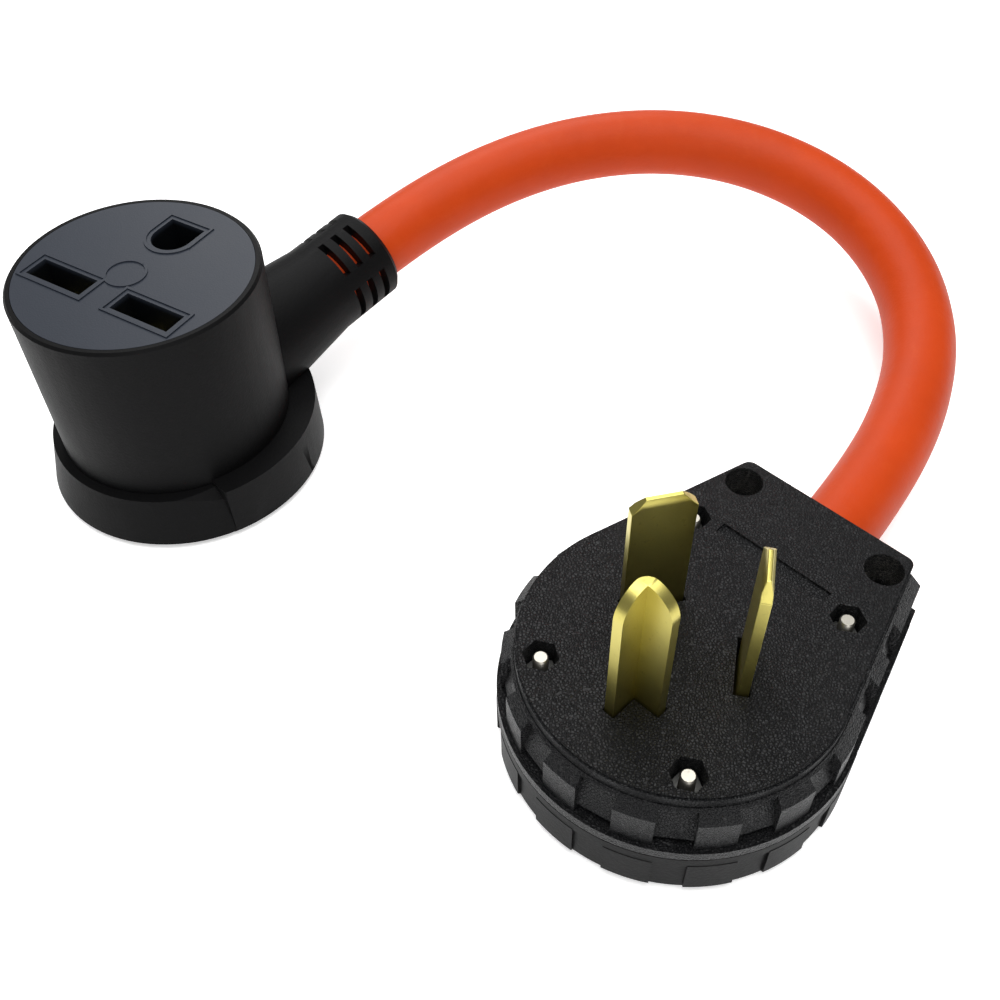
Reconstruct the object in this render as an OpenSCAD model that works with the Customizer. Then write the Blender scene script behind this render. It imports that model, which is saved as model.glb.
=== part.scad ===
// Short power adapter: a moulded right-angle connector, a thick round cord
// and an assembled angle plug with three blades.
// Frame: origin at the middle of the connector's base, on the resting surface.
// +X runs from connector to plug, +Y the way both cord entries point, +Z up.
// All sizes are millimetres and degrees.

/* [Connector] */
// Height of the contact face above the resting surface
conn_height = 53; // [50:0.1:64]
// Diameter of the barrel at the contact face
conn_d = 53.4; // [52:0.2:62]
// Diameter of the heel of the base
base_d = 64; // [62:0.5:72]
// Height of the heel of the base
base_height = 12.5; // [10:0.5:16]
// Turn of the contact face about the barrel's axis
face_turn = 14; // [-30:1:30]
// Diameter of the contact carrier
carrier_d = 50.4; // [46:0.2:50.4]
// Length of a live slot
slot_len = 15.2; // [14:0.1:16.4]
// Width of a live slot
slot_w = 5.4; // [4.6:0.1:5.8]
// Distance between the middles of the two live slots
slot_pitch = 23.6; // [22:0.1:25]
// Width of the earth slot
earth_w = 9.2; // [8.6:0.1:9.8]

/* [Neck] */
// Length of the neck from the barrel's axis to the end of the collar
neck_len = 62; // [56:0.5:72]
// Slope of the neck above the horizontal
neck_rise = 10; // [6:1:12]
// Diameter of the collar at the end of the neck
collar_d = 22.8; // [21.6:0.2:26]
// Diameter of the neck at the barrel
neck_root_d = 29; // [27:0.5:32]

/* [Cord] */
// Outside diameter of the cord
cord_d = 16.5; // [13.5:0.05:17]
// Diameter of one insulated conductor
core_d = 4.6; // [3.8:0.1:5]

/* [Plug] */
// Plug position along X, the middle of its round end
plug_x = 132; // [120:1:150]
// Plug position along Y
plug_y = 22; // [10:1:30]
// Thickness of the plug from back to blade face
plug_height = 27; // [25:0.1:33]
// Thickness of the rear cover
cover_height = 12; // [12:0.5:14]
// Diameter of the round end of the blade face
plug_face_d = 61; // [58:0.1:74]
// Distance from the round end's middle to the flat end
flat_y = 45.6; // [44:0.2:56]
// Width of the flat end
flat_w = 39.6; // [39:0.2:44]
// How far the grip pads stand out from the blade face
pad_out = 2.5; // [1.5:0.1:3]

/* [Blades] */
// Length of a live blade above the face
blade_len = 28.6; // [24:0.2:34]
// Width of a live blade
blade_w = 11.8; // [10.5:0.02:14.2]
// Thickness of every blade
blade_t = 2; // [1.6:0.1:2.2]
// Distance of each live blade from the plug's middle line
blade_x = 10.7; // [10:0.1:13]
// Lean of each live blade's width towards the middle line
blade_lean = 33; // [28:1:36]
// Length of the neutral blade above the face
neutral_len = 31.4; // [26:0.2:36]
// Length of each leg of the neutral blade
neutral_leg = 7.4; // [6.4:0.1:9]

/* [Fasteners] */
// Thread diameter of the four assembly screws
screw_d = 3; // [2.6:0.1:3.2]
// Width across flats of the assembly nuts
nut_af = 5.5; // [5:0.1:5.8]
// Diameter of the two clamp screw wells
well_d = 7.6; // [7:0.1:8]

/* [Hidden] */
$fn = 64;
eps = 0.01;
mould_gap = 0.1;
blade_gap = 0.3;
rim_r = conn_d / 2;
base_r = base_d / 2;
carrier_r = carrier_d / 2;
carrier_z = 19;
cavity_floor = 5;
cavity_r = 21.5;
frame_out = 1.5;
frame_w = 0.6;
frame_h = 0.3;
dial_r = 4.6;
dial_spot = [-0.8, -1.6];
slot_y = -9;
earth_x = -1;
earth_y = 18.2;
neck_z = 15.3;
collar_len = 17;
collar_r = collar_d / 2;
jacket_t = 29;
cord_r = cord_d / 2;
fingers = 5;
seam_z = cover_height;
cord_z = cover_height;
face_r = plug_face_d / 2;
corner_r = 2;
corner_x = flat_w / 2 - corner_r;
corner_y = flat_y - corner_r;
corner_dist = norm([corner_x, corner_y]);
side_turn = atan2(corner_y, corner_x) - acos((face_r - corner_r) / corner_dist);
side_len = corner_dist * sin(atan2(corner_y, corner_x) - side_turn);
lip_z = plug_height - 2.4;
flange_out = pad_out + 0.9;
pad_pitch = 25;
pad_gap = 7;
side_pitch = 13.4;
ceiling_z = seam_z + 6.6;
nut_sink = 7.4;
tab_z = ceiling_z - 3.6;
screw_spots = [[-0.55 * face_r, -0.645 * face_r], [0.55 * face_r, -0.645 * face_r],
               [-17.8, 25.2], [17.8, 25.2]];
well_x = flat_w / 2 - 3.5;
well_y = flat_y - 6.1;
clamp_y = well_y;
clamp_top = cord_z - cord_r + 0.65;
neutral_x = -1.3;
neutral_y = -12.7;
fold_r = 2.4;
live_tab_y = 16;
plug_end_y = plug_y + flat_y;
neck_step = [0, cos(neck_rise), sin(neck_rise)];
neck_base = [0, 0, neck_z];
mouth = neck_base + neck_len * neck_step;
route = [neck_base + jacket_t * neck_step, neck_base + 44 * neck_step, mouth,
         mouth + [0.6, 22, 4], [4.5, 104, 32], [12.5, 125, 33], [24, 143.5, 32.5],
         [40, 157, 30.5], [59.5, 164.5, 27.5], [80.5, 163.8, 23.5],
         [plug_x - 32, 155, 19.2], [plug_x - 17.5, 139.5, 16],
         [plug_x - 8, plug_end_y + 52, cord_z + 1.8], [plug_x - 2.6, plug_end_y + 30, cord_z + 0.6],
         [plug_x - 0.2, plug_end_y + 10, cord_z], [plug_x, plug_end_y, cord_z]];
rings = len(route);
sides = 12;

// A straight round bar between two points.
module bar(a, b, d) {
  v = b - a;
  translate(a)
    rotate([0, acos(v[2] / norm(v)), atan2(v[1], v[0])])
      cylinder(h = norm(v), d = d);
}

// An insulated conductor along a few points, with round elbows.
module core(points, d) {
  for (i = [0:len(points) - 2]) bar(points[i], points[i + 1], d);
  for (i = [1:len(points) - 2]) translate(points[i]) sphere(d = 1.06 * d);
}

module face_frame() {
  rotate([0, 0, face_turn]) children();
}

module neck_frame() {
  translate([0, 0, neck_z]) rotate([neck_rise - 90, 0, 0]) children();
}

module plug_frame() {
  translate([plug_x, plug_y, 0]) children();
}

// ---------- connector ----------

module earth_shape(grow) {
  w = earth_w + 2 * grow;
  translate([earth_x - w / 2, earth_y - 5.2 - grow]) square([w, 5.2 + 2 * grow]);
  translate([earth_x, earth_y - 5.2]) intersection() {
    circle(d = w);
    translate([-w, -w]) square([2 * w, w + eps]);
  }
}

module slot_shape(side, grow) {
  translate([side * slot_pitch / 2 - slot_len / 2 - grow, slot_y - slot_w / 2 - grow])
    square([slot_len + 2 * grow, slot_w + 2 * grow]);
}

// Flares from its ledge down to the foot, and stands wider with flat cheeks on the neck side.
module connector_base() {
  intersection() {
    union() {
      translate([0, 1, 0]) cylinder(h = 1.2 + eps, r1 = base_r - 1, r2 = base_r);
      translate([0, 1, 1.2]) cylinder(h = base_height - 1.2, r1 = base_r, r2 = base_r - 2.6);
    }
    translate([0, -5, 0]) cylinder(h = base_height, r1 = base_r + 7, r2 = rim_r - 0.4);
  }
  intersection() {
    union() {
      translate([0, 1, 0]) cylinder(h = 1.2 + eps, r1 = base_r - 0.9, r2 = base_r + 0.1);
      translate([0, 1, 1.2]) cylinder(h = base_height, r1 = base_r + 0.1, r2 = base_r - 0.4);
    }
    translate([0.2 - base_r, -8, 0]) cube([2 * base_r - 0.4, 60, base_height + 1]);
  }
}

module collar_windows() {
  for (row = [0:2])
    translate([0, 0, neck_len - collar_len + 3.6 + row * 4])
      difference() {
        cylinder(h = 1.7, r = collar_r + 1);
        translate([0, 0, -1]) cylinder(h = 5, r = cord_r - 0.3);
        for (k = [0:fingers - 1])
          rotate([0, 0, k * 360 / fingers + 45])
            translate([0, -2, -1]) cube([collar_r + 3, 4, 5]);
      }
}

module connector_shell() {
  color([0.09, 0.1, 0.115])
    difference() {
      union() {
        rotate_extrude()
          polygon([[0, 0.5], [rim_r - 0.6, 0.5], [rim_r, conn_height - 0.6],
                   [rim_r - 0.5, conn_height], [0, conn_height]]);
        connector_base();
        neck_frame() translate([0, 0, 12])
          cylinder(h = neck_len - collar_len - 12, d1 = neck_root_d + 2, d2 = collar_d);
        neck_frame() translate([0, 0, neck_len - collar_len - eps])
          cylinder(h = collar_len - 1 + eps, r = collar_r);
        neck_frame() translate([0, 0, neck_len - 1 - eps])
          cylinder(h = 1 + eps, r1 = collar_r, r2 = collar_r - 1);
      }
      translate([0, 0, carrier_z])
        cylinder(h = conn_height, r = carrier_r + mould_gap);
      translate([0, 0, cavity_floor])
        cylinder(h = conn_height, r = cavity_r);
      neck_frame() translate([0, 0, 12]) cylinder(h = neck_len, r = cord_r);
      translate([-8.5, 10, cavity_floor + 0.8]) cube([17, 18.2, carrier_z - cavity_floor - 0.8]);
      neck_frame() collar_windows();
    }
}

// Thin raised lines round each slot, running into a ring in the middle.
module frame_lines() {
  difference() {
    union() {
      for (s = [-1, 1]) difference() {
        slot_shape(s, frame_out);
        slot_shape(s, frame_out - frame_w);
      }
      difference() {
        earth_shape(frame_out);
        earth_shape(frame_out - frame_w);
      }
    }
    translate(dial_spot) circle(r = dial_r - 0.3);
  }
  translate(dial_spot) difference() {
    circle(r = dial_r);
    circle(r = dial_r - frame_w);
  }
}

module contact_carrier() {
  color([0.24, 0.27, 0.31])
    difference() {
      union() {
        translate([0, 0, carrier_z])
          cylinder(h = conn_height - carrier_z, r = carrier_r);
        face_frame() translate([0, 0, conn_height - eps]) linear_extrude(frame_h + eps)
          frame_lines();
      }
      face_frame() for (s = [-1, 1])
        translate([0, 0, carrier_z + 3]) linear_extrude(conn_height) slot_shape(s, 0);
      face_frame() for (s = [-1, 1])
        translate([s * slot_pitch / 2, slot_y, carrier_z - 1]) cylinder(h = 10, d = core_d + 0.4);
      face_frame() translate([0, 0, carrier_z + 3]) linear_extrude(conn_height) earth_shape(0);
      face_frame() translate([earth_x, earth_y - 5.2, carrier_z - 1])
        cylinder(h = 10, d = core_d + 0.4);
      translate([-3.2, 19, carrier_z - 1]) cube([6.4, 12, 7]);
    }
}

// Two spring leaves joined by a floor, standing in each live slot.
module live_contacts() {
  w = slot_w - 2 * mould_gap;
  color([0.78, 0.62, 0.3]) face_frame()
    for (s = [-1, 1]) translate([s * slot_pitch / 2, slot_y, carrier_z + 3]) {
      difference() {
        translate([-6, -w / 2, 0]) cube([12, w, 22]);
        translate([-7, -w / 2 + 0.8, 0.8]) cube([14, w - 1.6, 16]);
        translate([-7, -1, 16]) cube([14, 2, 8]);
        translate([-0.6, -w, 3]) cube([1.2, 2 * w, 20]);
      }
    }
}

module earth_contact() {
  color([0.78, 0.62, 0.3]) face_frame()
    translate([earth_x, earth_y - 5.2, carrier_z + 3])
      difference() {
        cylinder(h = 20, d = earth_w - 1);
        translate([0, 0, 0.8]) cylinder(h = 21, d = earth_w - 2.6);
        translate([-0.6, -6, 3]) cube([1.2, 12, 20]);
      }
}

module connector_crimps() {
  color([0.78, 0.62, 0.3]) face_frame() {
    for (s = [-1, 1]) translate([s * slot_pitch / 2, slot_y, carrier_z])
      cylinder(h = 3, d = core_d - 0.2);
    translate([earth_x, earth_y - 5.2, carrier_z]) cylinder(h = 3, d = core_d - 0.2);
  }
}

function turned(x, y, z) =
  [x * cos(face_turn) - y * sin(face_turn), x * sin(face_turn) + y * cos(face_turn), z];
tail = neck_base + (jacket_t - 1.5) * neck_step;
low_z = cavity_floor + core_d / 2 + 0.8;
high_z = carrier_z - core_d / 2 - 0.5;

module connector_black_core() {
  color([0.05, 0.05, 0.05])
    core([tail + [-2.7, 0, -5], [-9, 12, low_z], turned(-slot_pitch / 2, slot_y, low_z),
          turned(-slot_pitch / 2, slot_y, carrier_z)], core_d);
}

module connector_red_core() {
  color([0.6, 0.07, 0.06])
    core([tail + [2.7, 0, -5], [9, 10, low_z], turned(slot_pitch / 2, slot_y, low_z),
          turned(slot_pitch / 2, slot_y, carrier_z)], core_d);
}

module connector_green_core() {
  spot = turned(earth_x, earth_y - 5.2, high_z);
  color([0.08, 0.4, 0.16])
    core([tail + [0, 0, 0.4], [0, 20.5, high_z], spot, turned(earth_x, earth_y - 5.2, carrier_z)],
         core_d);
}

// ---------- cord ----------

function unit(v) = v / norm(v);
function heading(i) =
  i <= 2 ? neck_step :
  i == rings - 1 ? [0, -1, 0] :
  unit(unit(route[i + 1] - route[i]) + unit(route[i] - route[i - 1]));
function ring_side(i) = unit(cross(heading(i), [0, 0, 1]));
function ring_up(i) = cross(ring_side(i), heading(i));

module cord() {
  points = [for (i = [0:rings - 1]) for (k = [0:sides - 1])
    route[i] + cord_r * (cos(k * 360 / sides) * ring_side(i)
      + sin(k * 360 / sides) * ring_up(i))];
  walls = [for (i = [0:rings - 2]) for (k = [0:sides - 1])
    [i * sides + k, (i + 1) * sides + k, (i + 1) * sides + (k + 1) % sides,
     i * sides + (k + 1) % sides]];
  start = [for (k = [0:sides - 1]) k];
  finish = [for (k = [sides - 1:-1:0]) (rings - 1) * sides + k];
  color([0.85, 0.32, 0.12]) polyhedron(points, concat(walls, [start], [finish]));
}

// ---------- plug shells ----------

// Plan of the blade face grown by o: a round end with two straight sides to the flat end.
module outline(o) {
  r = face_r + o;
  c = corner_r + o;
  n = [cos(side_turn), sin(side_turn)];
  k = [corner_x, corner_y];
  top = flat_y + min(o, 0);
  tip = (r - n[1] * top) / n[0];
  intersection() {
    union() {
      circle(r = r);
      if (c > 0) {
        translate(k) circle(r = c);
        translate([-k[0], k[1]]) circle(r = c);
        polygon([r * n, k + c * n, [k[0], k[1] + c], [-k[0], k[1] + c],
                 [-k[0] - c * n[0], k[1] + c * n[1]], [-r * n[0], r * n[1]]]);
      } else {
        polygon([r * n, [tip, top], [-tip, top], [-r * n[0], r * n[1]]]);
      }
    }
    translate([-60, -60]) square([120, 60 + flat_y]);
  }
}

// A band of one cross-section round the end and along both sides.
module band(profile) {
  rotate([0, 0, 180 - side_turn])
    rotate_extrude(angle = 180 + 2 * side_turn) polygon(profile);
  for (m = [0, 1]) mirror([m, 0, 0])
    rotate([0, 0, side_turn]) translate([0, side_len, 0])
      rotate([90, 0, 0]) linear_extrude(side_len) polygon(profile);
}

// Places its child at each gap between grip pads, with +X pointing out of the plug.
module at_gaps() {
  for (k = [-3.5:1:3.5])
    rotate([0, 0, -90 + k * pad_pitch]) translate([face_r, 0, 0]) children();
  for (m = [0, 1]) mirror([m, 0, 0])
    rotate([0, 0, side_turn])
      for (k = [0.6, 1.6]) translate([face_r, k * side_pitch, 0]) children();
}

// A gap of the front body: deep under the lip, shallow lower down, with a slot at its foot.
module front_gap() {
  z0 = seam_z + 2.7;
  translate([0, pad_gap / 2, 0]) rotate([90, 0, 0]) linear_extrude(pad_gap)
    polygon([[-0.5, lip_z - 0.5], [-0.5, lip_z - 1.3], [pad_out - 0.9, z0 + 1.6], [0.4, z0 + 1.4],
             [0.4, z0], [8, z0], [8, lip_z - 0.5]]);
}

module rear_gap() {
  translate([pad_out - 0.4, -pad_gap / 2 + 0.5, -1]) cube([8, pad_gap - 1, seam_z]);
}

module hex(af, h) {
  cylinder(h = h, r = af / 2 / cos(30), $fn = 6);
}

module blade_slots() {
  for (m = [0, 1]) mirror([m, 0, 0])
    translate([blade_x, 3.7, seam_z]) rotate([0, 0, blade_lean])
      translate([-blade_t / 2 - blade_gap - 0.4, -blade_w / 2 - blade_gap, 0])
        cube([blade_t + 2 * blade_gap + 0.4, blade_w + 2 * blade_gap, plug_height]);
  g = blade_gap;
  translate([neutral_x - g, neutral_y - neutral_leg - g, seam_z])
    cube([blade_t + 2 * g, neutral_leg + 2 * g, plug_height]);
  translate([neutral_x - g, neutral_y - blade_t - g, seam_z])
    cube([neutral_leg + 2 * g, blade_t + 2 * g, plug_height]);
}

module cord_bore() {
  translate([0, flat_y + 5, cord_z]) rotate([90, 0, 0])
    cylinder(h = 5 + 18, r = cord_r + mould_gap);
}

module front_body() {
  color([0.075, 0.08, 0.09]) plug_frame()
    difference() {
      union() {
        translate([0, 0, seam_z]) linear_extrude(plug_height - seam_z - 0.4) outline(0);
        translate([0, 0, plug_height - 1]) linear_extrude(1) outline(-0.4);
        translate([0, 0, seam_z + 0.25]) linear_extrude(2.2) outline(flange_out);
        intersection() {
          band([[face_r - 3, seam_z + 1], [face_r + pad_out, seam_z + 1],
                [face_r + pad_out, lip_z - 2.2], [face_r + 0.2, lip_z], [face_r - 3, lip_z]]);
          translate([-60, -60, 0]) cube([120, 60 + flat_y, 60]);
        }
      }
      at_gaps() front_gap();
      difference() {
        translate([0, 0, seam_z - 1]) linear_extrude(ceiling_z - seam_z + 1) outline(-3.2);
        for (p = screw_spots) translate([p[0], p[1], 0]) cylinder(h = 40, d = 8.4);
        for (s = [-1, 1]) translate([s * well_x, well_y, 0]) cylinder(h = 40, d = 11);
        translate([-30, clamp_y - 6, 0]) cube([18, 20, 40]);
        translate([12, clamp_y - 6, 0]) cube([18, 20, 40]);
        translate([-30, flat_y - 4, 0]) cube([60, 10, 40]);
      }
      blade_slots();
      cord_bore();
      for (p = screw_spots) translate([p[0], p[1], 0]) {
        translate([0, 0, seam_z - 1]) cylinder(h = 40, d = screw_d + 0.5);
        translate([0, 0, plug_height - nut_sink]) rotate([0, 0, 30]) hex(nut_af + 0.5, 10);
      }
      for (s = [-1, 1]) translate([s * well_x, well_y, 0]) {
        translate([0, 0, seam_z - 1]) cylinder(h = 40, d = 4.5);
        translate([0, 0, seam_z + 4]) cylinder(h = 40, d = well_d);
      }
      translate([-12.4, 0.83 * face_r, plug_height - 0.5]) cube([24.8, 2.6, 2]);
    }
}

module rear_cover() {
  color([0.07, 0.072, 0.08]) plug_frame()
    difference() {
      union() {
        linear_extrude(seam_z) outline(pad_out + 0.4);
        difference() {
          translate([0, 0, 0.8]) linear_extrude(seam_z - 3) outline(pad_out + 1);
          at_gaps() rear_gap();
        }
        translate([0, 0, seam_z - 2.4]) linear_extrude(2.4) outline(flange_out);
      }
      band([[face_r + pad_out - 1.1, -0.5], [face_r + pad_out + 4, -0.5],
            [face_r + pad_out + 4, 2], [face_r + pad_out + 1.4, 2]]);
      difference() {
        translate([0, 0, 1.6]) linear_extrude(seam_z) outline(-2.5);
        for (p = screw_spots) translate([p[0], p[1], 0]) cylinder(h = 40, d = 9);
        translate([-30, flat_y - 3, 0]) cube([60, 10, 40]);
        for (s = [-1, 1]) translate([s * (cord_r + 4.6) - 3, 27.4, 0])
          cube([6, 2.4, seam_z]);
      }
      cord_bore();
      for (p = screw_spots) translate([p[0], p[1], 0]) {
        translate([0, 0, -1]) cylinder(h = 40, d = screw_d + 0.5);
        translate([0, 0, -1]) cylinder(h = 4, d = 2 * screw_d + 0.6);
      }
      for (s = [-1, 1]) translate([s * well_x - 3.6, well_y - 3.6, 1.8])
        cube([7.2, 7.2, seam_z]);
    }
}

// ---------- blades and fasteners ----------

module blade_plate(len, foot_z) {
  h = plug_height + len - foot_z;
  intersection() {
    translate([blade_t / 2, 0, foot_z]) rotate([90, 0, -90]) linear_extrude(blade_t)
      polygon([[-blade_w / 2, 0], [blade_w / 2, 0], [blade_w / 2, h - 2.6],
               [blade_w / 2 - 2.6, h], [2.6 - blade_w / 2, h], [-blade_w / 2, h - 2.6]]);
    translate([0, blade_w / 2, foot_z]) rotate([90, 0, 0]) linear_extrude(blade_w)
      polygon([[-blade_t / 2, 0], [blade_t / 2, 0], [blade_t / 2, h - 1.6],
               [blade_t / 2 - 0.6, h], [0.6 - blade_t / 2, h], [-blade_t / 2, h - 1.6]]);
  }
}

module live_blade() {
  difference() {
    union() {
      translate([blade_x, 3.7, 0]) rotate([0, 0, blade_lean]) blade_plate(blade_len, tab_z);
      translate([blade_x, 3.7, tab_z]) rotate([0, 0, blade_lean])
        translate([-blade_t / 2, -blade_w / 2, 0]) cube([9, blade_w, blade_t]);
    }
    translate([blade_x, 3.7, tab_z - 1]) rotate([0, 0, blade_lean])
      translate([4.4, 0, 0]) cylinder(h = 5, d = 4);
  }
}

module left_blade() {
  color([0.75, 0.65, 0.3]) plug_frame() mirror([1, 0, 0]) live_blade();
}

module right_blade() {
  color([0.75, 0.65, 0.3]) plug_frame() live_blade();
}

// One leg, square at the fold and rounded at its outer top corner.
module neutral_leg_shape(h) {
  r = neutral_leg - 1.8;
  square([neutral_leg, h - r]);
  square([neutral_leg - r, h]);
  translate([neutral_leg - r, h - r]) intersection() {
    circle(r = r);
    square([r, r]);
  }
}

module neutral_blade() {
  h = plug_height + neutral_len - tab_z;
  color([0.75, 0.65, 0.3]) plug_frame()
    difference() {
      translate([neutral_x, neutral_y, tab_z]) {
        rotate([90, 0, 0]) linear_extrude(blade_t) neutral_leg_shape(h);
        mirror([0, 1, 0]) rotate([90, 0, 90]) linear_extrude(blade_t) neutral_leg_shape(h);
        translate([0, -neutral_leg, 0]) cube([neutral_leg, neutral_leg, blade_t]);
        translate([-9, -neutral_leg, 0]) cube([9.5, neutral_leg, blade_t]);
      }
      translate([neutral_x, neutral_y, tab_z + 3]) linear_extrude(h) difference() {
        translate([-1, -fold_r]) square([fold_r + 1, fold_r + 1]);
        translate([fold_r, -fold_r]) circle(r = fold_r);
      }
      translate([neutral_x - 4.6, neutral_y - neutral_leg / 2, tab_z - 1]) cylinder(h = 5, d = 4);
    }
}

module assembly_screws() {
  color([0.72, 0.7, 0.66]) plug_frame()
    for (p = screw_spots) translate([p[0], p[1], 0]) {
      translate([0, 0, 0.6]) cylinder(h = 2.4, d = 2 * screw_d);
      translate([0, 0, 3 - eps]) cylinder(h = plug_height - 3.4, d = screw_d);
    }
}

module assembly_nuts() {
  color([0.6, 0.6, 0.58]) plug_frame()
    for (p = screw_spots) translate([p[0], p[1], plug_height - nut_sink])
      rotate([0, 0, 30]) difference() {
        hex(nut_af, 2.4);
        translate([0, 0, -1]) cylinder(h = 5, d = screw_d);
      }
}

module clamp_screws() {
  color([0.72, 0.7, 0.66]) plug_frame()
    for (s = [-1, 1]) translate([s * well_x, well_y, 0]) difference() {
      union() {
        translate([0, 0, seam_z + 4]) cylinder(h = 2.6, d = 6.8);
        translate([0, 0, 2.4]) cylinder(h = seam_z + 2, d = 4);
      }
      translate([-4, -0.5, seam_z + 5.4]) cube([8, 1, 3]);
    }
}

module clamp_nuts() {
  color([0.6, 0.6, 0.58]) plug_frame()
    for (s = [-1, 1]) translate([s * well_x, well_y, 2])
      difference() {
        translate([-3.4, -3.4, 0]) cube([6.8, 6.8, 2.4]);
        translate([0, 0, -1]) cylinder(h = 5, d = 4);
      }
}

module cord_clamp() {
  color([0.1, 0.1, 0.11]) plug_frame()
    difference() {
      union() {
        translate([-well_x - 0.6, clamp_y - 3.4, 1.7]) cube([2 * well_x + 1.2, 5.4, clamp_top - 1.7]);
        for (s = [-1, 1]) translate([s * well_x - 3.9, clamp_y - 3.4, clamp_top])
          translate([s > 0 ? 0 : 3.2, 0, 0]) cube([4.6, 5.4, 5]);
      }
      translate([0, flat_y, cord_z]) rotate([90, 0, 0]) cylinder(h = 30, r = cord_r);
      for (s = [-1, 1]) translate([s * well_x, well_y, 0]) {
        translate([-3.5, -3.5, 1]) cube([7, 7, 3.5]);
        cylinder(h = 20, d = 4.4);
      }
    }
}

module live_terminal() {
  translate([blade_x, 3.7, 0]) rotate([0, 0, blade_lean]) translate([4.4, 0, 0]) children();
}

module terminals() {
  for (m = [0, 1]) mirror([m, 0, 0]) live_terminal() children();
  translate([neutral_x - 4.6, neutral_y - neutral_leg / 2, 0]) children();
}

module terminal_screws() {
  color([0.72, 0.7, 0.66]) plug_frame() terminals() difference() {
    union() {
      translate([0, 0, tab_z - 7]) cylinder(h = 2.4, d = 7);
      translate([0, 0, tab_z - 5]) cylinder(h = 7, d = 4);
    }
    translate([-4, -0.5, tab_z - 8]) cube([8, 1, 2]);
  }
}

module wire_plates() {
  color([0.72, 0.7, 0.66]) plug_frame() terminals() difference() {
    translate([-3.6, -3.6, tab_z - 4.6]) cube([7.2, 7.2, 1.2]);
    cylinder(h = 30, d = 4);
  }
}

module cord_tail() {
  color([0.85, 0.32, 0.12]) plug_frame()
    translate([0, flat_y, cord_z]) rotate([90, 0, 0]) cylinder(h = 16, r = cord_r);
}

module plug_core(start, bend, stop) {
  core([start, bend, stop], core_d - 0.6);
}

tail_y = flat_y - 17.4;
wire_z = tab_z - 6;

module plug_black_core() {
  color([0.05, 0.05, 0.05]) plug_frame()
    plug_core([-4.4, tail_y, cord_z], [-6, 22, wire_z - 1], [-10, 13, wire_z - 1]);
}

module plug_red_core() {
  color([0.6, 0.07, 0.06]) plug_frame()
    plug_core([4.4, tail_y, cord_z], [6, 22, wire_z - 1], [10, 13, wire_z - 1]);
}

module plug_green_core() {
  color([0.08, 0.4, 0.16]) plug_frame()
    plug_core([0, tail_y, cord_z - 4.4], [0, 10, 5], [-3, -9, 5]);
}

connector_shell();
contact_carrier();
live_contacts();
earth_contact();
connector_crimps();
connector_black_core();
connector_red_core();
connector_green_core();
cord();
front_body();
rear_cover();
left_blade();
right_blade();
neutral_blade();
assembly_screws();
assembly_nuts();
clamp_screws();
clamp_nuts();
cord_clamp();
terminal_screws();
wire_plates();
cord_tail();
plug_black_core();
plug_red_core();
plug_green_core();
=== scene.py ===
import math

import bpy
from mathutils import Matrix, Vector


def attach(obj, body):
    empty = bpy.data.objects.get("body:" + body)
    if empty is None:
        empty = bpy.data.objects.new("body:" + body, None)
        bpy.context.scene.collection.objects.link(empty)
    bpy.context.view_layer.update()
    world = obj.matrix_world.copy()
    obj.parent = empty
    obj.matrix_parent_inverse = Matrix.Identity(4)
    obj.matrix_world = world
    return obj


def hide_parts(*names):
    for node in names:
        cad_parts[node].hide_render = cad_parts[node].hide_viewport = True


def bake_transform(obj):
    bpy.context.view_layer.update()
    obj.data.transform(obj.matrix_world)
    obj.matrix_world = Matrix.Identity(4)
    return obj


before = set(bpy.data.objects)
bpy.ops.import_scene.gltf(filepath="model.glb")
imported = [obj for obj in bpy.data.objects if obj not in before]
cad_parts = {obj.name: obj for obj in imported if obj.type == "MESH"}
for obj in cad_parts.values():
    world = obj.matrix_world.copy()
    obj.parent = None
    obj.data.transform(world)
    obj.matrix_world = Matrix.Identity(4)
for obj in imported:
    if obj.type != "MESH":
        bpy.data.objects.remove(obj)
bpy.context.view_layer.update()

bl_info = {
    "name": "Power adapter",
    "version": (1, 0, 0),
    "blender": (4, 5, 0),
    "location": "View3D > Sidebar > Adapter",
    "description": "Builds a short power adapter with its connector, cord and plug",
    "category": "Object",
}

MM = 0.001
NECK_BASE = Vector((0.0, 0.0, 15.3)) * MM
NECK_STEP = Vector((0.0, math.cos(math.radians(10)), math.sin(math.radians(10))))
NECK_LENGTH = 62 * MM
MOUTH = NECK_BASE + NECK_LENGTH * NECK_STEP

# The way the cord's middle runs from the connector's collar to the plug, in millimetres.
CORD_WAY = [
    (0.6, 83, 29.9), (2, 94, 31.4), (4.6, 104.5, 32.4), (8, 114.7, 32.9), (12, 124.7, 33),
    (17.3, 134.1, 32.9), (23.5, 142.9, 32.5), (31, 150.3, 31.7), (39.5, 156.6, 30.5),
    (49, 161.5, 29), (59.5, 164.4, 27.3), (70, 165.2, 25.4), (80.6, 163.8, 23.3),
    (90.6, 160.3, 21.2), (99.9, 155, 19.2), (107.9, 147.9, 17.3), (114.6, 139.5, 15.8),
    (119.8, 130, 14.6), (123.7, 119.9, 13.7), (126.7, 109.5, 12.9), (128.9, 98.8, 12.5),
    (130.4, 88, 12.2), (131.6, 77.2, 12),
]
PLUG_ENTRY = Vector((132.0, 67.6, 12.0)) * MM
STEPS_PER_POINT = 5
EVENING_ROUNDS = 160

PLUG_MIDDLE = (132 * MM, 22 * MM)
SCREW_SPOTS = [(PLUG_MIDDLE[0] + x * MM, PLUG_MIDDLE[1] + y * MM) for x, y in (
    (-16.775, -19.6725), (16.775, -19.6725), (-17.8, 25.2), (17.8, 25.2))]

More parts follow.
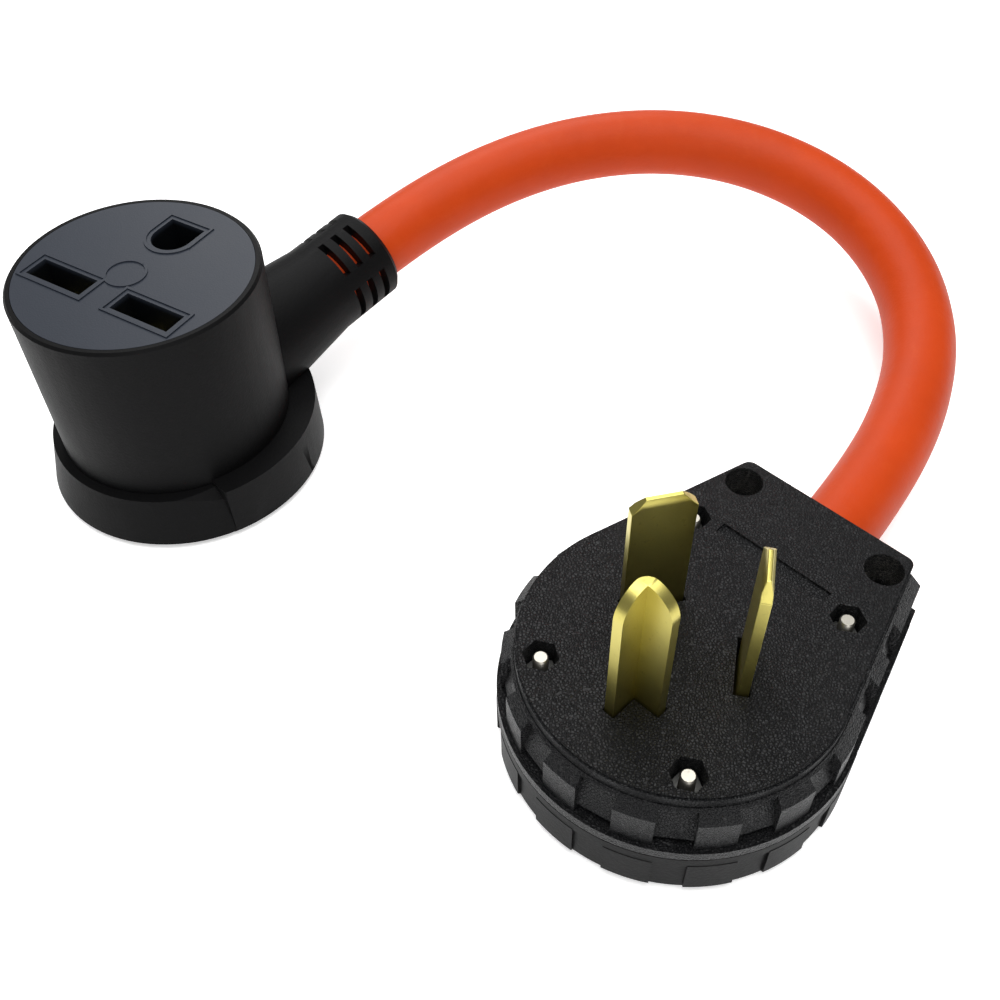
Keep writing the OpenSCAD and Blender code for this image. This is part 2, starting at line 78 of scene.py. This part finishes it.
# The assembly screws stand on their heads in the rear cover, their tips in the nut pockets.
SCREW_FOOT = 3 * MM
SCREW_TIP = 26.55 * MM
SHANK_RADIUS = 1.48 * MM
HEAD_RADIUS = 2.95 * MM
HEAD_DEPTH = 2.4 * MM
HEAD_LAP = 0.01 * MM
DRIVE_WIDTH = 0.9 * MM
DRIVE_DEPTH = 1 * MM
THREAD_PITCH = 0.7 * MM
THREAD_ROOT = 0.8
THREAD_CUTS = 13

# The connector's face is painted darker between these heights, a painted shade on the way down
# into its slots.
SLOT_PAINTED_SHADE_FOOT = 0.0515
SLOT_PAINTED_SHADE_TOP = 0.0529
DULL_ZINC = (0.10, 0.10, 0.095)
CORE_COLOURS = {"black": (0.01, 0.01, 0.01), "red": (0.35, 0.02, 0.015),
                "green": (0.02, 0.2, 0.05)}

# Each lamp: its place, the point it faces, its width and its power in watts.
LAMPS = {
    "overhead softbox": ((0.10, 0.05, 0.95), (0.07, 0.07, 0.0), 0.9, 11),
    "window softbox": ((-0.55, 0.55, 0.65), (0.05, 0.08, 0.02), 0.6, 5),
    "front softbox": ((0.75, -0.45, 0.55), (0.08, 0.05, 0.02), 0.6, 2.5),
}
CAMERA_SPOT = (0.1945, -0.0833, 0.1981)
CAMERA_HEADING, CAMERA_TILT, CAMERA_ROLL = 46, 42, -1.5
FOCAL_LENGTH, SENSOR_WIDTH = 41.4, 36
WORLD_STRENGTH = 0.27


class AdapterSizes(bpy.types.PropertyGroup):
    """Sizes of the made pieces."""
    cord_diameter: bpy.props.FloatProperty(
        name="Cord diameter", description="Outside diameter of the cord",
        default=0.0165, min=0.01, max=0.02, unit="LENGTH", subtype="DISTANCE")
    shell_edge: bpy.props.FloatProperty(
        name="Shell edge", description="Rounding of the moulded edges of the connector",
        default=0.0006, min=0.0001, max=0.002, unit="LENGTH", subtype="DISTANCE")
    plug_edge: bpy.props.FloatProperty(
        name="Plug edge", description="Rounding of the moulded edges of the plug",
        default=0.0005, min=0.0001, max=0.001, unit="LENGTH", subtype="DISTANCE")
    blade_edge: bpy.props.FloatProperty(
        name="Blade edge", description="Rounding of the stamped edges of the blades",
        default=0.00018, min=0.00005, max=0.0004, unit="LENGTH", subtype="DISTANCE")
    floor_width: bpy.props.FloatProperty(
        name="Floor width", description="Width of the pale floor",
        default=4.0, min=1.0, max=10.0, unit="LENGTH", subtype="DISTANCE")


class AdapterColours(bpy.types.PropertyGroup):
    """Base colours of the finishes."""
    shell: bpy.props.FloatVectorProperty(
        name="Connector shell", description="Colour of the connector's moulding",
        default=(0.0032, 0.0032, 0.0034), size=3, min=0, max=1, subtype="COLOR")
    contact_face: bpy.props.FloatVectorProperty(
        name="Contact face", description="Colour of the connector's face",
        default=(0.017, 0.021, 0.030), size=3, min=0, max=1, subtype="COLOR")
    jacket: bpy.props.FloatVectorProperty(
        name="Cord jacket", description="Colour of the cord",
        default=(0.46, 0.044, 0.003), size=3, min=0, max=1, subtype="COLOR")
    plug_front: bpy.props.FloatVectorProperty(
        name="Plug body", description="Colour of the plug's grained front",
        default=(0.0035, 0.0037, 0.0043), size=3, min=0, max=1, subtype="COLOR")
    plug_cover: bpy.props.FloatVectorProperty(
        name="Plug cover", description="Colour of the plug's rear cover",
        default=(0.004, 0.004, 0.0042), size=3, min=0, max=1, subtype="COLOR")
    brass: bpy.props.FloatVectorProperty(
        name="Brass", description="Colour of the blades and contacts",
        default=(0.52, 0.455, 0.125), size=3, min=0, max=1, subtype="COLOR")
    nickel: bpy.props.FloatVectorProperty(
        name="Nickel", description="Colour of the screws and nuts",
        default=(0.42, 0.40, 0.35), size=3, min=0, max=1, subtype="COLOR")
    floor: bpy.props.FloatVectorProperty(
        name="Floor", description="Colour of the floor",
        default=(0.93, 0.93, 0.93), size=3, min=0, max=1, subtype="COLOR")


# ---------------------------------------------------------------- finishes


class Signal:
    """One node output that can be used in sums."""

    def __init__(self, bench, socket):
        self.bench = bench
        self.socket = socket

    def sum_with(self, operation, first, second):
        return self.bench.node("ShaderNodeMath", {"operation": operation}, {0: first, 1: second})

    def __add__(self, other):
        return self.sum_with("ADD", self, other)

    def __radd__(self, other):
        return self.sum_with("ADD", other, self)

    def __mul__(self, other):
        return self.sum_with("MULTIPLY", self, other)

    def __rmul__(self, other):
        return self.sum_with("MULTIPLY", other, self)


class Bench:
    """Builds one material's nodes."""

    def __init__(self, name):
        self.material = bpy.data.materials.new(name)
        self.material.use_nodes = True
        self.tree = self.material.node_tree
        self.surface = self.tree.nodes["Principled BSDF"]
        self.place = self.node("ShaderNodeTexCoord", {}, {}, "Object")

    def node(self, kind, settings, values, output=0):
        made = self.tree.nodes.new(kind)
        for key, value in settings.items():
            setattr(made, key, value)
        for key, value in values.items():
            if isinstance(value, Signal):
                self.tree.links.new(value.socket, made.inputs[key])
            else:
                made.inputs[key].default_value = value
        return Signal(self, made.outputs[output])

    def noise(self, scale, detail=3.0, roughness=0.55, place=None):
        return self.node("ShaderNodeTexNoise", {}, {
            "Vector": place or self.place, "Scale": scale, "Detail": detail,
            "Roughness": roughness})

    def stretched(self, x, y, z):
        return self.node("ShaderNodeMapping", {}, {"Vector": self.place, "Scale": (x, y, z)})

    def band(self, value, low, high):
        """A soft step from 0 at low to 1 at high."""
        return self.node("ShaderNodeMapRange", {"interpolation_type": "SMOOTHSTEP"}, {
            "Value": value, "From Min": low, "From Max": high})

    def blend(self, factor, first, second):
        return self.node("ShaderNodeMix", {"data_type": "RGBA"}, {
            0: factor, 6: first, 7: second}, 2)

    def bump(self, height, depth, strength=1.0, under=None):
        values = {"Height": height, "Distance": depth, "Strength": strength}
        if under:
            values["Normal"] = under
        return self.node("ShaderNodeBump", {}, values)

    def finish(self, colour, roughness, normal=None, metallic=0.0, **fixed):
        for key, value in (("Base Color", colour), ("Roughness", roughness),
                           ("Normal", normal), ("Metallic", metallic)):
            if isinstance(value, Signal):
                self.tree.links.new(value.socket, self.surface.inputs[key])
            elif value is not None:
                self.surface.inputs[key].default_value = value
        for key, value in fixed.items():
            self.surface.inputs[key.replace("_", " ")].default_value = value
        return self.material


def paint(colour, gain=1.0):
    """The colour made lighter or darker by a gain."""
    return tuple(min(1.0, c * gain) for c in colour[:3]) + (1.0,)


def moulded_black(name, colour, rough, grain=0.00006):
    """Matte moulded plastic with a fine spark texture and a few pale rub marks."""
    b = Bench(name)
    cloud = b.noise(55, 3)
    fine = b.noise(1600, 2)
    grit = b.noise(5200, 1)
    rubs = b.band(b.noise(420, 5, 0.7, b.stretched(1, 1, 0.3)), 0.66, 0.78) * 0.35
    shade = b.blend(cloud, paint(colour, 0.8), paint(colour, 1.35))
    shade = b.blend(rubs, shade, paint(colour, 2.6))
    relief = b.bump(fine * 0.7 + grit * 0.3, grain)
    return b.finish(shade, rough - 0.1 + cloud * 0.14 + fine * 0.08, relief,
                    Specular_IOR_Level=0.07)


def satin_face(name, colour):
    """Smooth satin plastic with faint flow marks, with painted shade darkening it down inside the
    slots.
    """
    b = Bench(name)
    cloud = b.noise(38, 3)
    fine = b.noise(2600, 2)
    scuff = b.band(b.noise(900, 4, 0.7, b.stretched(0.3, 1.4, 1)), 0.62, 0.74) * 0.22
    shade = b.blend(cloud, paint(colour, 0.86), paint(colour, 1.16))
    shade = b.blend(scuff, shade, paint(colour, 1.7))
    height = b.node("ShaderNodeSeparateXYZ", {}, {0: b.place}, 2)
    # Painted shade: below these heights the face colour goes to near black inside the slots.
    shade = b.blend(b.band(height, SLOT_PAINTED_SHADE_FOOT, SLOT_PAINTED_SHADE_TOP), paint(colour, 0.12), shade)
    return b.finish(shade, 0.40 + cloud * 0.1 + scuff * 0.3, b.bump(fine, 0.00002),
                    Specular_IOR_Level=0.2)


def leather_grain(name, colour):
    """Plastic moulded with a leather-like grain of small raised cells."""
    b = Bench(name)
    warp = b.noise(900, 2)
    cells = b.node("ShaderNodeTexVoronoi", {"feature": "DISTANCE_TO_EDGE"}, {
        "Vector": b.place, "Scale": 1750.0, "Randomness": 1.0})
    small = b.node("ShaderNodeTexVoronoi", {"feature": "F1"}, {
        "Vector": b.place, "Scale": 3600.0, "Randomness": 1.0})
    height = b.band(cells, 0.0, 0.22) * 0.8 + small * 0.25 + warp * 0.3
    cloud = b.noise(60, 3)
    # Painted shade: the colour is darker in the low seams between the raised grain cells.
    shade = b.blend(b.band(cells, 0.0, 0.16), paint(colour, 0.8), paint(colour, 1.1))
    shade = b.blend(cloud * 0.5, shade, paint(colour, 1.5))
    return b.finish(shade, 0.3 + warp * 0.12 + cloud * 0.08, b.bump(height, 0.00024),
                    Specular_IOR_Level=0.24)


def orange_jacket(name, colour):
    """Thick rubber-like jacket: even orange with pale dusting and a fine skin."""
    b = Bench(name)
    cloud = b.noise(45, 4, 0.6)
    dust = b.band(b.noise(240, 5, 0.65), 0.5, 0.8) * 0.22
    skin = b.noise(2200, 3)
    pits = b.node("ShaderNodeTexVoronoi", {"feature": "F1"}, {
        "Vector": b.place, "Scale": 1500.0, "Randomness": 1.0})
    wave = b.noise(120, 2, 0.5)
    red, green, blue = colour[:3]
    deep = (red * 0.82, green * 0.78, blue * 0.8, 1.0)
    pale = (min(1, red * 1.05), min(1, green * 1.5), min(1, blue * 3.4), 1.0)
    shade = b.blend(cloud, deep, paint(colour, 1.08))
    shade = b.blend(dust, shade, pale)
    relief = b.bump(skin * 0.6 + pits * 0.4, 0.00005, 1.0, b.bump(wave, 0.0003))
    return b.finish(shade, 0.42 + cloud * 0.1 + skin * 0.06, relief, Specular_IOR_Level=0.15)


def worn_metal(name, colour, rough, tarnish):
    """Plated or bare metal with drawn scratches and darker tarnish."""
    b = Bench(name)
    cloud = b.noise(130, 4, 0.6)
    scratch = b.noise(5200, 3, 0.6, b.stretched(1, 1, 0.06))
    cross = b.noise(2400, 2, 0.5, b.stretched(0.12, 0.12, 1))
    spots = b.band(b.noise(520, 5, 0.7), 0.56, 0.76)
    shade = b.blend(cloud, paint(colour, 0.82), paint(colour, 1.12))
    shade = b.blend(spots * tarnish, shade, paint(colour, 0.5))
    relief = b.bump(scratch * 0.7 + cross * 0.3, 0.00002)
    return b.finish(shade, rough + cloud * 0.1 + spots * 0.12 + scratch * 0.06, relief, 1.0)


def core_plastic(name, colour):
    """Glossy insulation of a single conductor."""
    b = Bench(name)
    cloud = b.noise(300, 2)
    shade = b.blend(cloud, paint(colour, 0.8), paint(colour, 1.2))
    return b.finish(shade, 0.3 + cloud * 0.1, b.bump(b.noise(1500, 2), 0.00002))


def pale_floor(name, colour):
    """Even, pale, softly glowing floor."""
    b = Bench(name)
    return b.finish(b.blend(b.noise(3, 2), paint(colour, 0.99), paint(colour, 1.0)), 0.75,
                    Emission_Color=(1, 1, 1, 1), Emission_Strength=0.42)


def wear(obj, material):
    """Gives an object this one finish."""
    if not obj.material_slots:
        obj.data.materials.append(material)
    for slot in obj.material_slots:
        slot.material = material


# ---------------------------------------------------------------- shaping


MERGE_DISTANCE = 0.000002
FLAT_ANGLE = 0.6


def nothing_selected():
    """Leaves edit mode and deselects everything."""
    if bpy.context.object and bpy.context.object.mode != "OBJECT":
        bpy.ops.object.mode_set(mode="OBJECT")
    bpy.ops.object.select_all(action="DESELECT")


def take(obj):
    """Selects only this object and makes it active."""
    nothing_selected()
    obj.select_set(True)
    bpy.context.view_layer.objects.active = obj


def apply_all(obj):
    """Applies every modifier on an object."""
    take(obj)
    for modifier in list(obj.modifiers):
        bpy.ops.object.modifier_apply(modifier=modifier.name)


def eased(node, name, width, body, material, segments=2, angle=28):
    """A copy of a CAD node, merged and with its sharp edges rounded."""
    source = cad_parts[node]
    obj = bpy.data.objects.new(name, source.data.copy())
    bpy.context.scene.collection.objects.link(obj)
    obj.matrix_world = Matrix.Identity(4)
    take(obj)
    bpy.ops.mesh.customdata_custom_splitnormals_clear()
    bpy.ops.object.mode_set(mode="EDIT")
    bpy.ops.mesh.select_all(action="SELECT")
    bpy.ops.mesh.remove_doubles(threshold=MERGE_DISTANCE)
    bpy.ops.mesh.dissolve_limited(angle_limit=math.radians(FLAT_ANGLE))
    bpy.ops.object.mode_set(mode="OBJECT")
    rounding = obj.modifiers.new("rounding", "BEVEL")
    rounding.width = width
    rounding.segments = segments
    rounding.limit_method = "ANGLE"
    rounding.angle_limit = math.radians(angle)
    rounding.use_clamp_overlap = True
    rounding.miter_outer = "MITER_ARC"
    apply_all(obj)
    bpy.ops.object.shade_smooth_by_angle(angle=math.radians(35))
    even = obj.modifiers.new("even shading", "WEIGHTED_NORMAL")
    even.keep_sharp = True
    even.weight = 80
    apply_all(obj)
    obj.data.materials.clear()
    obj.data.materials.append(material)
    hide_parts(node)
    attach(obj, body)
    return obj


def threaded_screw(at, foot, head, shank, top, pitch):
    """A screw standing on its head: slotted head below, turned thread at the top; its edges are
    bevelled later, once the screws are joined.
    """
    nothing_selected()
    bpy.ops.mesh.primitive_cylinder_add(vertices=32, radius=shank, depth=top - foot,
                                        location=(at[0], at[1], (top + foot) / 2))
    screw = bpy.context.object
    bpy.ops.object.transform_apply(location=True)
    bpy.ops.object.mode_set(mode="EDIT")
    levels = [top - k * pitch / 2 for k in range(1, THREAD_CUTS + 1)]
    for level in levels:
        bpy.ops.mesh.select_all(action="SELECT")
        bpy.ops.mesh.bisect(plane_co=(at[0], at[1], level), plane_no=(0, 0, 1))
    roots = [top, *levels[1::2]]
    bpy.ops.object.mode_set(mode="OBJECT")
    for vertex in screw.data.vertices:
        vertex.select = any(abs(vertex.co.z - level) < pitch * 0.1 for level in roots)
    bpy.ops.object.mode_set(mode="EDIT")
    bpy.ops.transform.resize(value=(THREAD_ROOT, THREAD_ROOT, 1),
                             center_override=(at[0], at[1], top))
    bpy.ops.object.mode_set(mode="OBJECT")
    nothing_selected()
    bpy.ops.mesh.primitive_cylinder_add(vertices=40, radius=head, depth=HEAD_DEPTH,
                                        location=(at[0], at[1], foot - HEAD_DEPTH / 2 + HEAD_LAP))
    cap = bpy.context.object
    bpy.ops.object.transform_apply(location=True)
    bpy.ops.mesh.primitive_cube_add(size=1, location=(at[0], at[1], foot - HEAD_DEPTH))
    cutter = bpy.context.object
    bpy.ops.transform.resize(value=(2.2 * head, DRIVE_WIDTH, 2 * DRIVE_DEPTH))
    bpy.ops.object.transform_apply(location=True, scale=True)
    drive = cap.modifiers.new("drive", "BOOLEAN")
    drive.operation = "DIFFERENCE"
    drive.object = cutter
    apply_all(cap)
    bpy.data.objects.remove(cutter)
    screw.select_set(True)
    cap.select_set(True)
    bpy.context.view_layer.objects.active = screw
    bpy.ops.object.join()
    return screw


def smooth_way(points, steps):
    """Points along a curve through the given ones."""
    out = []
    last = len(points) - 1
    for i in range(last):
        a = points[max(i - 1, 0)]
        b = points[i]
        c = points[i + 1]
        d = points[min(i + 2, last)]
        for k in range(steps):
            t = k / steps
            out.append(0.5 * ((2 * b) + (c - a) * t + (2 * a - 5 * b + 4 * c - d) * t * t
                              + (3 * b - a - 3 * c + d) * t ** 3))
    out.append(points[-1])
    return out


def settled(points, rounds):
    """The same way with its small kinks evened out, ends kept."""
    for _ in range(rounds):
        points = points[:2] + [
            (points[i - 1] + 2 * points[i] + points[i + 1]) / 4
            for i in range(2, len(points) - 2)] + points[-2:]
    return points


def length_of(points):
    return sum((b - a).length for a, b in zip(points, points[1:]))


def tube(name, points, radius):
    """A round tube along the points, made as a bevelled curve and turned into a mesh."""
    nothing_selected()
    bpy.ops.curve.primitive_nurbs_path_add(location=(0, 0, 0))
    obj = bpy.context.object
    obj.name = name
    obj.data.name = name
    curve = obj.data
    curve.splines.clear()
    spline = curve.splines.new("POLY")
    spline.points.add(len(points) - 1)
    for point, at in zip(spline.points, points):
        point.co = (*at, 1.0)
    curve.dimensions = "3D"
    curve.bevel_depth = radius
    curve.bevel_resolution = 10
    curve.use_fill_caps = True
    bpy.ops.object.convert(target="MESH")
    obj = bpy.context.object
    bpy.ops.object.mode_set(mode="EDIT")
    bpy.ops.mesh.select_all(action="SELECT")
    bpy.ops.mesh.remove_doubles(threshold=0.00001)
    bpy.ops.mesh.normals_make_consistent(inside=False)
    bpy.ops.object.mode_set(mode="OBJECT")
    bpy.ops.object.shade_smooth_by_angle(angle=math.radians(40))
    return obj


# ---------------------------------------------------------------- operators


class ADAPTER_OT_stage(bpy.types.Operator):
    """Set the floor, the lamps and the camera"""
    bl_idname = "adapter.stage"
    bl_label = "Stage"

    def execute(self, context):
        sizes = context.scene.adapter_sizes
        colours = context.scene.adapter_colours
        nothing_selected()
        bpy.ops.mesh.primitive_plane_add(size=sizes.floor_width, location=(0.07, 0.07, -0.0003))
        floor = context.object
        floor.name = "floor"
        wear(floor, pale_floor("pale floor", colours.floor))
        lens = bpy.data.cameras.new("view")
        lens.lens = FOCAL_LENGTH
        lens.sensor_width = SENSOR_WIDTH
        lens.clip_start = 0.01
        eye = bpy.data.objects.new("view", lens)
        context.scene.collection.objects.link(eye)
        turn = (Matrix.Rotation(math.radians(CAMERA_HEADING), 4, "Z")
                @ Matrix.Rotation(math.radians(CAMERA_TILT), 4, "X")
                @ Matrix.Rotation(math.radians(CAMERA_ROLL), 4, "Z"))
        eye.matrix_world = Matrix.Translation(CAMERA_SPOT) @ turn
        context.scene.camera = eye
        for name, (at, aim, size, power) in LAMPS.items():
            lamp = bpy.data.lights.new(name, "AREA")
            lamp.shape = "SQUARE"
            lamp.size = size
            lamp.energy = power
            holder = bpy.data.objects.new(name, lamp)
            context.scene.collection.objects.link(holder)
            look = (Vector(aim) - Vector(at)).to_track_quat("-Z", "Y")
            holder.matrix_world = Matrix.Translation(at) @ look.to_matrix().to_4x4()
        world = bpy.data.worlds.new("studio")
        world.use_nodes = True
        world.node_tree.nodes["Background"].inputs["Color"].default_value = (1, 1, 1, 1)
        world.node_tree.nodes["Background"].inputs["Strength"].default_value = WORLD_STRENGTH
        context.scene.world = world
        context.scene.view_settings.view_transform = "Standard"
        return {"FINISHED"}


class ADAPTER_OT_cord(bpy.types.Operator):
    """Lay the thick round cord from the connector to the plug"""
    bl_idname = "adapter.cord"
    bl_label = "Cord"

    def execute(self, context):
        sizes = context.scene.adapter_sizes
        start = NECK_BASE + 44 * MM * NECK_STEP
        way = [start, NECK_BASE + 53 * MM * NECK_STEP, MOUTH, MOUTH + 11 * MM * NECK_STEP]
        way += [Vector(p) * MM for p in CORD_WAY] + [PLUG_ENTRY]
        way = settled(smooth_way(way, STEPS_PER_POINT), EVENING_ROUNDS)
        cord = tube("cord_jacket", way, sizes.cord_diameter / 2)
        cord.data.materials.clear()
        colour = context.scene.adapter_colours.jacket
        cord.data.materials.append(orange_jacket("cord jacket", colour))
        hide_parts("cord")
        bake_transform(cord)
        round(length_of(way), 4)
        return {"FINISHED"}


class ADAPTER_OT_connector(bpy.types.Operator):
    """Finish the connector's moulding, its face and its contacts"""
    bl_idname = "adapter.connector"
    bl_label = "Connector"

    def execute(self, context):
        sizes = context.scene.adapter_sizes
        colours = context.scene.adapter_colours
        eased("connector_shell", "connector_moulding", sizes.shell_edge, "connector",
              moulded_black("connector moulding", colours.shell, 0.5), 3)
        eased("contact_carrier", "connector_face", sizes.plug_edge * 0.5, "connector",
              satin_face("connector face", colours.contact_face))
        brass = worn_metal("contact brass", colours.brass, 0.3, 0.4)
        for node in ("live_contacts", "earth_contact", "connector_crimps"):
            wear(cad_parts[node], brass)
        return {"FINISHED"}


class ADAPTER_OT_plug_case(bpy.types.Operator):
    """Finish the plug's front body and rear cover"""
    bl_idname = "adapter.plug_case"
    bl_label = "Plug case"

    def execute(self, context):
        sizes = context.scene.adapter_sizes
        colours = context.scene.adapter_colours
        eased("front_body", "plug_front", sizes.plug_edge, "plug",
              leather_grain("grained plug body", colours.plug_front))
        eased("rear_cover", "plug_rear", sizes.plug_edge, "plug",
              moulded_black("plug cover moulding", colours.plug_cover, 0.46))
        wear(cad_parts["cord_clamp"], moulded_black("clamp moulding", colours.plug_cover, 0.5))
        wear(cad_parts["cord_tail"], orange_jacket("cord tail", colours.jacket))
        return {"FINISHED"}


class ADAPTER_OT_blades(bpy.types.Operator):
    """Finish the plug's blades"""
    bl_idname = "adapter.blades"
    bl_label = "Blades"

    def execute(self, context):
        sizes = context.scene.adapter_sizes
        brass = worn_metal("blade brass", context.scene.adapter_colours.brass, 0.24, 0.55)
        for node in ("left_blade", "right_blade", "neutral_blade"):
            eased(node, node + "_coined", sizes.blade_edge, "plug", brass)
        return {"FINISHED"}


class ADAPTER_OT_fittings(bpy.types.Operator):
    """Finish the screws, nuts, plates and inner cores"""
    bl_idname = "adapter.fittings"
    bl_label = "Fittings"

    def execute(self, context):
        nickel = worn_metal("plated steel", context.scene.adapter_colours.nickel, 0.26, 0.45)
        dull = worn_metal("dull zinc", DULL_ZINC, 0.42, 0.6)
        wear(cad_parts["assembly_nuts"], dull)
        for node in ("clamp_screws", "clamp_nuts", "terminal_screws", "wire_plates"):
            wear(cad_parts[node], nickel)
        made = [threaded_screw(spot, SCREW_FOOT, HEAD_RADIUS, SHANK_RADIUS, SCREW_TIP,
                               THREAD_PITCH) for spot in SCREW_SPOTS]
        nothing_selected()
        for screw in made:
            screw.select_set(True)
        bpy.context.view_layer.objects.active = made[0]
        bpy.ops.object.join()
        screws = made[0]
        screws.name = "machine_screws"
        rounding = screws.modifiers.new("rounding", "BEVEL")
        rounding.width = 0.00012
        rounding.limit_method = "ANGLE"
        rounding.angle_limit = math.radians(60)
        apply_all(screws)
        bpy.ops.object.shade_smooth_by_angle(angle=math.radians(25))
        screws.data.materials.clear()
        screws.data.materials.append(nickel)
        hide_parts("assembly_screws")
        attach(screws, "plug")
        for tint, colour in CORE_COLOURS.items():
            finish = core_plastic(tint + " core", colour)
            for end in ("connector", "plug"):
                wear(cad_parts[end + "_" + tint + "_core"], finish)
        return {"FINISHED"}


class ADAPTER_PT_panel(bpy.types.Panel):
    """Lists the steps of the build"""
    bl_idname = "ADAPTER_PT_panel"
    bl_label = "Power adapter"
    bl_space_type = "VIEW_3D"
    bl_region_type = "UI"
    bl_category = "Adapter"

    def draw(self, context):
        for group in (context.scene.adapter_sizes, context.scene.adapter_colours):
            box = self.layout.box()
            for key in group.__annotations__:
                box.prop(group, key)
        for step in STEPS:
            self.layout.operator(step.bl_idname)


STEPS = (ADAPTER_OT_stage, ADAPTER_OT_cord, ADAPTER_OT_connector, ADAPTER_OT_plug_case,
         ADAPTER_OT_blades, ADAPTER_OT_fittings)
CLASSES = (AdapterSizes, AdapterColours) + STEPS + (ADAPTER_PT_panel,)


def register():
    for cls in CLASSES:
        bpy.utils.register_class(cls)
    bpy.types.Scene.adapter_sizes = bpy.props.PointerProperty(type=AdapterSizes)
    bpy.types.Scene.adapter_colours = bpy.props.PointerProperty(type=AdapterColours)


def unregister():
    del bpy.types.Scene.adapter_colours
    del bpy.types.Scene.adapter_sizes
    for cls in reversed(CLASSES):
        bpy.utils.unregister_class(cls)


def main():
    register()
    for step in STEPS:
        area, name = step.bl_idname.split(".")
        getattr(getattr(bpy.ops, area), name)()
    bpy.context.view_layer.update()


if __name__ == "__main__":
    main()
